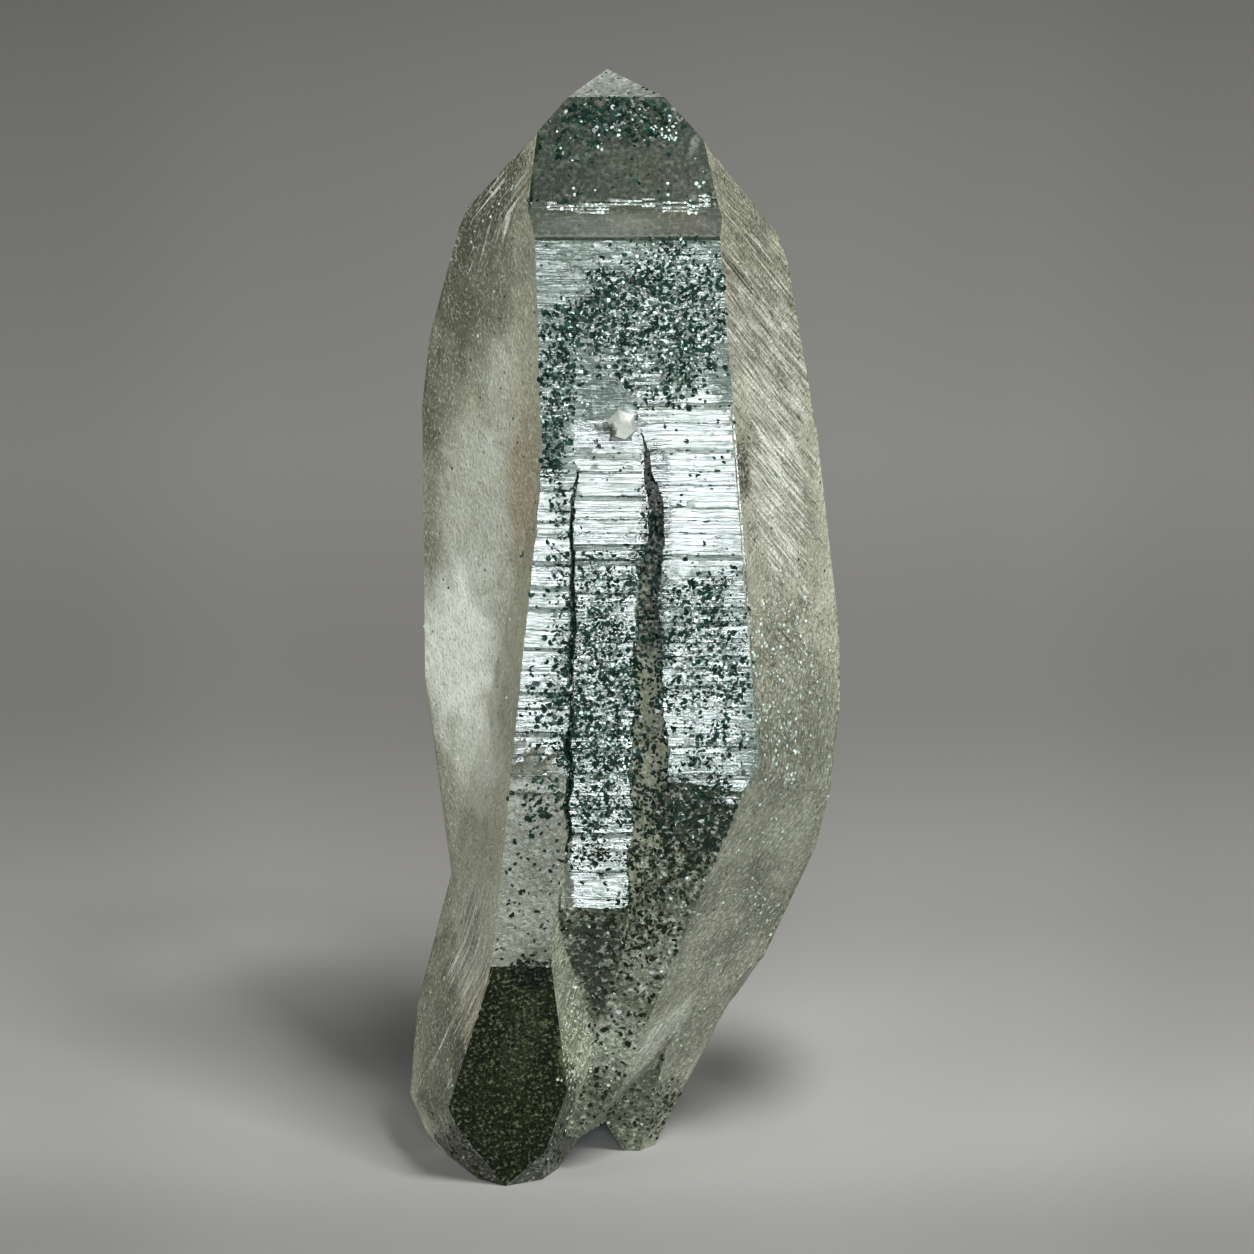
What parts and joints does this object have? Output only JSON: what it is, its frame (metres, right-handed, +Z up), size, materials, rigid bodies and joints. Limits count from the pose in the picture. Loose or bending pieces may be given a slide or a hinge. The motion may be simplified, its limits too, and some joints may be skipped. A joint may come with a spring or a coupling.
{
  "type": "phantom quartz crystal",
  "caption": "Tall pointed six-sided quartz crystal with a ribbed, striated front, green inclusions inside and two broken feet it stands on.",
  "frame": {"origin": "centre of the bounding box, at the level of the two feet it stands on", "axes": "+Z up along the crystal to its point, -Y out of the ribbed front, +X to the right seen from the front"},
  "size_m": [0.0356, 0.0298, 0.0918],
  "materials": {
    "quartz": "natural quartz, frosted sides and a glossy striated front, full of fine green chlorite"
  },
  "bodies": {
    "root": {"crystal": "quartz"}
  },
  "joints": []
}
